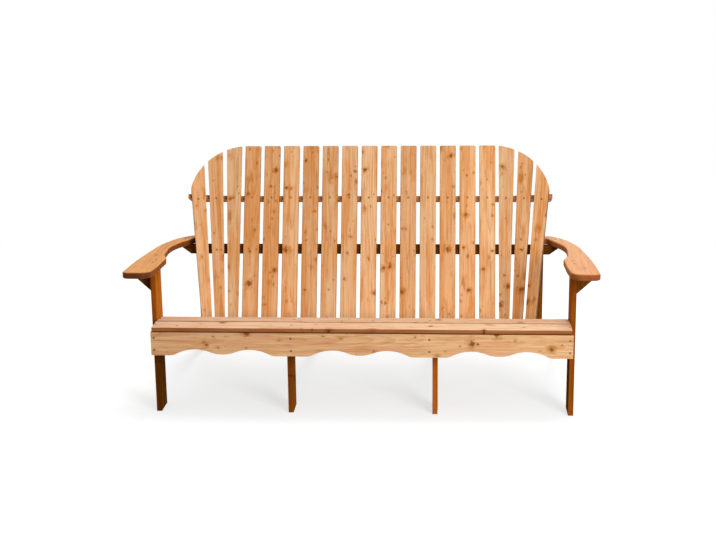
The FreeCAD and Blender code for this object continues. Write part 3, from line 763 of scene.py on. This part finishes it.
@dataclass(frozen=True)
class ScrewHead:
    """A countersunk head with a six-lobed recess, set almost flush."""

    radius: float = 0.0041
    flat_share: float = 0.9
    rise: float = 0.0004
    rim_share: float = 0.45
    sink: float = 0.0004
    recess_radius: float = 0.0017
    recess_depth: float = 0.0011
    recess_mouth_share: float = 1.08
    recess_floor_share: float = 0.85
    lobe_share: float = 0.3
    lobes: int = 6
    steps: int = 24

    def rings(self) -> list[Triple]:
        """The head's profile from its rim to the floor of the recess.

        Returns:
            Radius, height and lobe share of each ring of points.
        """
        mouth, floor = (self.recess_radius * share
                        for share in (self.recess_mouth_share, self.recess_floor_share))
        return [
            (self.radius, -self.sink, 0.0),
            (self.radius, self.rise * self.rim_share, 0.0),
            (self.radius * self.flat_share, self.rise, 0.0),
            (mouth, self.rise, self.lobe_share),
            (floor, self.rise - self.recess_depth, self.lobe_share),
        ]

    def add_to(self, mesh: bmesh.types.BMesh, place: Vector, facing: Vector, turn: float
               ) -> None:
        """Add one head to a mesh.

        Args:
            mesh: The mesh that gets it.
            place: Where its middle lies on the wood.
            facing: The direction that it faces.
            turn: How far its recess is turned, in radians.
        """
        side = facing.orthogonal().normalized()
        other = facing.cross(side)
        loops = []
        for radius, height, share in self.rings():
            loop = []
            for step in range(self.steps):
                angle = turn + 2 * math.pi * step / self.steps
                reach = radius * (1 + share * math.cos(self.lobes * (angle - turn)))
                outward = side * math.cos(angle) + other * math.sin(angle)
                loop.append(mesh.verts.new(place + facing * height + outward * reach))
            loops.append(loop)
        for lower, upper in zip(loops, loops[1:]):
            for step in range(self.steps):
                after = (step + 1) % self.steps
                mesh.faces.new((lower[step], lower[after], upper[after], upper[step]))
        mesh.faces.new(loops[-1])


Spot = tuple[Vector, Vector]


def spot_on(node: str, start: Triple, direction: Triple) -> Spot:
    """Find where a straight line first meets a board.

    Args:
        node: The board's name.
        start: Where the line starts.
        direction: Where it goes.

    Returns:
        The place on the board's face and the way that the face looks.
    """
    met, place, facing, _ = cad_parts[node].ray_cast(
        Vector(start), Vector(direction).normalized())
    if not met:
        raise ValueError(f"no face of {node} lies there")
    return place, facing


def middle_at(node: str, height: float) -> float:
    """The middle of a board's width at a height.

    Args:
        node: The board's name.
        height: The height above the ground.

    Returns:
        The X of the middle.
    """
    crossings = []
    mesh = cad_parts[node].data
    for edge in mesh.edges:
        ends = [mesh.vertices[index].co for index in edge.vertices]
        low, high = sorted(ends, key=lambda point: point.z)
        if low.z <= height < high.z:
            share = (height - low.z) / (high.z - low.z)
            crossings.append(low.x + (high.x - low.x) * share)
    return (min(crossings) + max(crossings)) / 2


def placed(name: str, mesh: bmesh.types.BMesh, material: bpy.types.Material
           ) -> bpy.types.Object:
    """Turn a finished mesh into an object in the scene.

    Args:
        name: The object's name.
        mesh: Its mesh, which is used up.
        material: Its material.

    Returns:
        The new object.
    """
    data = bpy.data.meshes.new(name)
    mesh.to_mesh(data)
    mesh.free()
    data.materials.append(material)
    piece = bpy.data.objects.new(name, data)
    bpy.context.scene.collection.objects.link(piece)
    return piece


class ScrewSet:
    """Builds screw heads, all of one kind and finish."""

    def __init__(self, head: ScrewHead, finish: ScrewFinish) -> None:
        """Prepare the head and its material.

        Args:
            head: The head's shape.
            finish: The head's finish.
        """
        self.head = head
        self.material = finish.make()

    def drive(self, name: str, spots: list[Spot]) -> None:
        """Set heads at some spots as one piece.

        Args:
            name: The piece's name.
            spots: Where the heads sit and which way they face.
        """
        chance = random.Random(name)
        mesh = bmesh.new()
        for place, facing in spots:
            self.head.add_to(mesh, place, facing, chance.uniform(0, math.pi))
        bmesh.ops.recalc_face_normals(mesh, faces=mesh.faces)
        piece = placed(name, mesh, self.material)
        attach(piece, "root")
        LOG.info("%s: %d heads", name, len(spots))


# Sub-assemblies


class Assembly(ABC):
    """A group of boards that are made and dressed together."""

    @abstractmethod
    def boards(self) -> list[Board]:
        """The boards of this group."""

    @abstractmethod
    def fasten(self, screws: ScrewSet) -> None:
        """Set the screw heads that hold the group.

        Args:
            screws: What makes them.
        """

    def build(self, screws: ScrewSet) -> None:
        """Ease the boards and set their screws.

        Args:
            screws: What makes the screw heads.
        """
        for board in self.boards():
            board.ease()
            LOG.info("%s: arrises eased by %.1f mm", board.node, board.arris * 1000)
        bpy.context.view_layer.update()
        self.fasten(screws)

    def dress(self, effects: WoodEffects) -> None:
        """Give every board its wood.

        Args:
            effects: The shared node groups.
        """
        for board in self.boards():
            board.dress(effects)
            LOG.info("%s: dressed in %s", board.node, board.finish.slot)


@dataclass
class FrontFrame(Assembly):
    """The scalloped apron, the four stringers and the four front legs."""

    apron_arris: float = 0.0035
    apron_rows: Pair = (0.338, 0.2905)
    leg_screws: tuple[Pair, Pair] = ((-0.327, 0.318), (-0.277, 0.285))
    leg_clearance: float = 0.1
    stringer_slope: float = 18.5
    # Each leg's tones paint the light and shade that falls on it; the first leg is painted darker
    # toward its foot as shade under the seat.
    leg_tones: tuple[Pair, ...] = ((0.45, 1.2), (0.95, 0.95), (1.75, 1.75), (1.05, 0.95))

    def boards(self) -> list[Board]:
        """The apron, stringers and legs.

        Returns:
            The boards.
        """
        slope = math.radians(self.stringer_slope)
        down = Lay((0, math.cos(slope), -math.sin(slope)), (0, math.sin(slope), math.cos(slope)))
        found = [Board("apron", Grain.ALONG_FRONT.value, APRON_WOOD, arris=self.apron_arris)]
        for number, light_and_shade_tones in enumerate(self.leg_tones, start=1):
            found.append(Board(f"stringer_{number}", down, FRAME_WOOD))
            found.append(Board(f"front_leg_{number}", Grain.UPRIGHT_SIDE.value, FRAME_WOOD,
                               light_and_shade_tones=light_and_shade_tones))
        return found

    def fasten(self, screws: ScrewSet) -> None:
        """Screw the apron and the legs to the stringers.

        Args:
            screws: What makes the heads.
        """
        screws.drive("apron_screw_heads", [
            spot_on("apron", (x, -CLEAR, z), (0, 1, 0))
            for x in STATIONS for z in self.apron_rows])
        spots = []
        for number, x in enumerate(STATIONS, start=1):
            side = 1 if x > 0 else -1
            beside = x + side * self.leg_clearance
            spots += [spot_on(f"front_leg_{number}", (beside, y, z), (-side, 0, 0))
                      for y, z in self.leg_screws]
        screws.drive("leg_screw_heads", spots)


@dataclass
class SeatDeck(Assembly):
    """The five seat boards."""

    finishes: tuple[SoftwoodFinish, ...] = (SEAT_WOOD, GAP_SHADED_DECK_WOOD, GAP_SHADED_DECK_WOOD, GAP_SHADED_DECK_WOOD, GAP_SHADED_DECK_WOOD)
    arris: float = 0.0012

    def boards(self) -> list[Board]:
        """The seat boards, from the front.

        Returns:
            The boards, whose rounded edges the frame already has.
        """
        return [Board(f"seat_slat_{number}", Grain.ALONG_DECK.value, finish, arris=self.arris)
                for number, finish in enumerate(self.finishes, start=1)]

    def fasten(self, screws: ScrewSet) -> None:
        """Screw every seat board to every stringer.

        Args:
            screws: What makes the heads.
        """
        spots = []
        for board in self.boards():
            low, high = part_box(board.node)
            middle = (low.y + high.y) / 2
            spots += [spot_on(board.node, (x, middle, CLEAR), (0, 0, -1)) for x in STATIONS]
        screws.drive("seat_screw_heads", spots)


@dataclass
class FannedBack(Assembly):
    """The nineteen back slats and the two rails that hold them."""

    slats: int = 19
    slat_arris: float = 0.003
    lean: float = 21.0
    foot_trim: float = 0.1
    head_trim: float = 0.25
    upper_screw_height: float = 0.7598
    lower_screw_height: float = 0.276
    # The upper rail's raised tone is painted light; the lower rail keeps its own tone.
    rail_light_tones: tuple[Pair, Pair] = ((1.3, 1.3), (1.0, 1.0))

    def up(self) -> Vector:
        """The direction up the leaning back."""
        return Vector((0, math.sin(math.radians(self.lean)), math.cos(math.radians(self.lean))))

    def slat_lay(self, node: str) -> Lay:
        """The lay of one slat, which may lean sideways.

        Args:
            node: The slat's name.

        Returns:
            Its lay.
        """
        low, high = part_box(node)
        foot = middle_at(node, low.z + self.foot_trim)
        head = middle_at(node, high.z - self.head_trim)
        drift = (head - foot) / (high.z - low.z - (self.foot_trim + self.head_trim))
        along = self.up() + Vector((drift * self.up().z, 0, 0))
        return Lay(tuple(along), (1, 0, 0))

    def slat_names(self) -> list[str]:
        """The slats' names from left to right."""
        return [f"back_slat_{number:02d}" for number in range(1, self.slats + 1)]

    def boards(self) -> list[Board]:
        """The slats and their rails.

        Returns:
            The boards.
        """
        slats = [Board(name, self.slat_lay(name), BACK_WOOD, arris=self.slat_arris)
                 for name in self.slat_names()]
        rail_lay = Lay((1, 0, 0), (0, self.up().z, -self.up().y))
        rails = [Board(name, rail_lay, RAIL_WOOD, arris=0.0, light_and_shade_tones=light_and_shade_tones)
                 for name, light_and_shade_tones in zip(("upper_back_rail", "lower_back_rail"), self.rail_light_tones)]
        return slats + rails

    def fasten(self, screws: ScrewSet) -> None:
        """Screw every slat to both rails.

        Args:
            screws: What makes the heads.
        """
        for name, height in (("upper_slat_screw_heads", self.upper_screw_height),
                             ("lower_slat_screw_heads", self.lower_screw_height)):
            screws.drive(name, [
                spot_on(slat, (middle_at(slat, height), -CLEAR, height), (0, 1, 0))
                for slat in self.slat_names()])


@dataclass
class RearSupports(Assembly):
    """The arm rail, its posts and the rail that they stand on."""

    # The arm rail's and the right post's low tones are painted shade.
    arm_rail_tones: Pair = (0.3, 0.3)
    right_post_shade_tones: Pair = (0.5, 0.5)
    post_screw_height: float = 0.548
    post_middle: float = 0.709
    post_screw_offset: float = 0.009
    rail_screw_inset: float = 0.03

    def boards(self) -> list[Board]:
        """The rails and posts.

        Returns:
            The boards.
        """
        return [
            Board("arm_rail", Grain.ALONG_FRONT.value, FRAME_WOOD, light_and_shade_tones=self.arm_rail_tones),
            Board("rear_cross_rail", Grain.ALONG_DECK.value, FRAME_WOOD),
            Board("rear_post_left", Grain.UPRIGHT_FRONT.value, FRAME_WOOD),
            Board("rear_post_right", Grain.UPRIGHT_FRONT.value, FRAME_WOOD,
                  light_and_shade_tones=self.right_post_shade_tones)]

    def fasten(self, screws: ScrewSet) -> None:
        """Screw the posts to the arm rail and the cross rail to the stringers.

        Args:
            screws: What makes the heads.
        """
        screws.drive("post_screw_heads", [
            spot_on(f"rear_post_{word}",
                    (side * self.post_middle + offset, CLEAR, self.post_screw_height), (0, -1, 0))
            for side, word in ((-1, "left"), (1, "right"))
            for offset in (-self.post_screw_offset, self.post_screw_offset)])
        low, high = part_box("rear_cross_rail")
        screws.drive("cross_rail_screw_heads", [
            spot_on("rear_cross_rail", (x, y, CLEAR), (0, 0, -1))
            for x in STATIONS
            for y in (low.y + self.rail_screw_inset, high.y - self.rail_screw_inset)])


@dataclass
class PaddleArms(Assembly):
    """The shaped arms and the brackets under them."""

    leg_middle: float = 0.806
    leg_screws: Pair = (-0.329, -0.277)
    rail_screw: Pair = (0.772, 0.134)
    # The brackets' low tone is painted shade, and the arms' finishes paint shade on the left
    # arm's front edge.
    bracket_tones: Pair = (0.4, 0.4)
    arm_finishes: tuple[SoftwoodFinish, SoftwoodFinish] = (SHADED_EDGE_ARM_WOOD, LIT_EDGE_ARM_WOOD)

    def boards(self) -> list[Board]:
        """The arms, whose rounded arrises the frame already has, and the brackets.

        Returns:
            The boards.
        """
        found = []
        for word, finish in zip(("left", "right"), self.arm_finishes):
            found.append(Board(f"arm_{word}", Grain.FRONT_TO_BACK.value, finish, arris=0.0))
            found.append(Board(f"arm_bracket_{word}", Grain.UPRIGHT_FRONT.value, FRAME_WOOD,
                               light_and_shade_tones=self.bracket_tones))
        return found

    def fasten(self, screws: ScrewSet) -> None:
        """Screw the arms down to the legs and to the arm rail.

        Args:
            screws: What makes the heads.
        """
        rows = [(self.leg_middle, y) for y in self.leg_screws] + [self.rail_screw]
        screws.drive("arm_screw_heads", [
            spot_on(f"arm_{word}", (side * x, y, CLEAR), (0, 0, -1))
            for side, word in ((-1, "left"), (1, "right")) for x, y in rows])


# Studio and camera


@dataclass(frozen=True)
class Lamp:
    """One soft square lamp that faces the bench, with its power in watts."""

    name: str
    place: Triple
    width: float
    power: float
    target: Triple = (0, 0, 0.45)

    def hang(self) -> None:
        """Hang the lamp in the scene."""
        data = bpy.data.lights.new(self.name, "AREA")
        data.size = self.width
        data.energy = self.power
        lamp = bpy.data.objects.new(self.name, data)
        bpy.context.scene.collection.objects.link(lamp)
        lamp.location = self.place
        aim = Vector(self.target) - Vector(self.place)
        lamp.rotation_euler = aim.to_track_quat("-Z", "Y").to_euler()
        LOG.info("%s hung", self.name)


@dataclass
class Studio:
    """A plain pale floor, a white surround and soft lamps."""

    floor_reach: float = 90.0
    floor_rings: int = 12
    floor_steps: int = 48
    ring_growth: float = 2.5
    shadow_reach: Pair = (1.2, 3.6)
    floor_colour: Colour = (0.45, 0.45, 0.45, 1.0)
    bounce_colour: Colour = (0.10, 0.095, 0.09, 1.0)
    floor_glow: Colour = (0.68, 0.68, 0.68, 1.0)
    floor_roughness: float = 0.9
    sky_strength: float = 0.42
    lamps: tuple[Lamp, ...] = (
        Lamp("key_lamp", (2.7, -4.1, 1.9), width=2.0, power=166.0),
        Lamp("top_lamp", (0.6, -0.6, 4.2), width=2.2, power=76.0),
        Lamp("rear_lamp", (0.6, 3.4, 3.0), width=2.4, power=50.0))

    def build(self) -> None:
        """Build the floor, the surround and the lamps."""
        self.add_floor()
        self.add_surround()
        for lamp in self.lamps:
            lamp.hang()

    def add_floor(self) -> None:
        """Lay a round floor that is wide enough to fill the view."""
        mesh = bmesh.new()
        middle = mesh.verts.new((0, 0, 0))
        inner: list[bmesh.types.BMVert] = []
        steps = self.floor_steps
        for ring in range(1, self.floor_rings + 1):
            reach = self.floor_reach * (ring / self.floor_rings) ** self.ring_growth
            outer = [mesh.verts.new((reach * math.cos(2 * math.pi * step / steps),
                                     reach * math.sin(2 * math.pi * step / steps), 0))
                     for step in range(steps)]
            for step in range(steps):
                after = (step + 1) % steps
                if inner:
                    mesh.faces.new((inner[step], outer[step], outer[after], inner[after]))
                else:
                    mesh.faces.new((middle, outer[step], outer[after]))
            inner = outer
        floor = placed("studio_floor", mesh, self.floor_material())
        LOG.info("studio floor laid")

    def floor_material(self) -> bpy.types.Material:
        """White to the camera and grey to the bench, so that undersides stay dark.

        Returns:
            The floor's material.
        """
        material = bpy.data.materials.new("pale_floor")
        material.use_nodes = True
        wiring = Wiring(material.node_tree)
        shader = material.node_tree.nodes["Principled BSDF"]
        seen = self.seen(wiring)
        place = wiring.add("TexCoord")
        length = wiring.add("VectorMath", operation="LENGTH")
        wiring.feed(length.inputs[0], place.outputs["Object"])
        beyond = wiring.ramp(length.outputs["Value"], *self.shadow_reach)
        black, white = (0, 0, 0, 1), (1, 1, 1, 1)
        lit = wiring.mix(beyond, self.floor_colour, black)
        glow = wiring.mix(beyond, self.floor_glow, white)
        wiring.feed(shader.inputs["Base Color"], wiring.mix(seen, self.bounce_colour, lit))
        wiring.feed(shader.inputs["Emission Color"], wiring.mix(seen, black, glow))
        shader.inputs["Emission Strength"].default_value = 1.0
        shader.inputs["Roughness"].default_value = self.floor_roughness
        shader.inputs["Specular IOR Level"].default_value = 0.0
        return material

    def seen(self, wiring: Wiring) -> bpy.types.NodeSocket:
        """Tell rays that show the background from those that light the bench.

        Args:
            wiring: The tree that the nodes go in.

        Returns:
            1 for camera, glossy and transmission rays, else 0.
        """
        path = wiring.add("LightPath")
        shown = wiring.math("MAXIMUM", path.outputs["Is Camera Ray"],
                            path.outputs["Is Glossy Ray"])
        return wiring.math("MAXIMUM", shown, path.outputs["Is Transmission Ray"])

    def add_surround(self) -> None:
        """Surround the bench with soft white light."""
        world = bpy.data.worlds.new("pale_surround")
        bpy.context.scene.world = world
        world.use_nodes = True
        wiring = Wiring(world.node_tree)
        background = world.node_tree.nodes["Background"]
        seen = self.seen(wiring)
        rest = wiring.math("SUBTRACT", 1.0, seen)
        strength = wiring.math("MULTIPLY_ADD", rest, self.sky_strength, seen)
        wiring.feed(background.inputs["Strength"], strength)
        background.inputs["Color"].default_value = (1, 1, 1, 1)


@dataclass
class ViewPoint:
    """The camera, at the photograph's viewing angle, with its angles in radians."""

    place: Triple = (0.3318, -5.0955, 1.7413)
    yaw: float = -0.0722
    pitch: float = 0.2398
    roll: float = 0.0131
    focal_pixels: float = 1285.9
    sensor_width: float = 36.0
    farthest: float = 500.0

    def turn(self) -> Matrix:
        """The camera's rotation: rolled first, then raised from the ground, then turned.

        Returns:
            The rotation.
        """
        raised = Matrix.Rotation(math.pi / 2 - self.pitch, 3, "X")
        return Matrix.Rotation(-self.yaw, 3, "Z") @ raised @ Matrix.Rotation(-self.roll, 3, "Z")

    def build(self) -> None:
        """Make the camera and use it."""
        data = bpy.data.cameras.new("photo_camera")
        data.sensor_width = self.sensor_width
        data.lens = self.focal_pixels * self.sensor_width / IMAGE_WIDTH
        data.clip_end = self.farthest
        camera = bpy.data.objects.new("photo_camera", data)
        bpy.context.scene.collection.objects.link(camera)
        camera.location = self.place
        camera.rotation_euler = self.turn().to_euler()
        bpy.context.scene.camera = camera
        LOG.info("camera set with a %.1f mm lens", data.lens)


def main() -> None:
    """Build, dress and light the bench."""
    logging.basicConfig(level=logging.INFO, format="%(name)s: %(message)s")
    effects = WoodEffects(WoodLook())
    screws = ScrewSet(ScrewHead(), ScrewFinish())
    for assembly in (FrontFrame(), SeatDeck(), FannedBack(), RearSupports(), PaddleArms()):
        assembly.build(screws)
        assembly.dress(effects)
    Studio().build()
    ViewPoint().build()
    bpy.context.scene.view_settings.view_transform = "Standard"


if __name__ == "__main__":
    main()
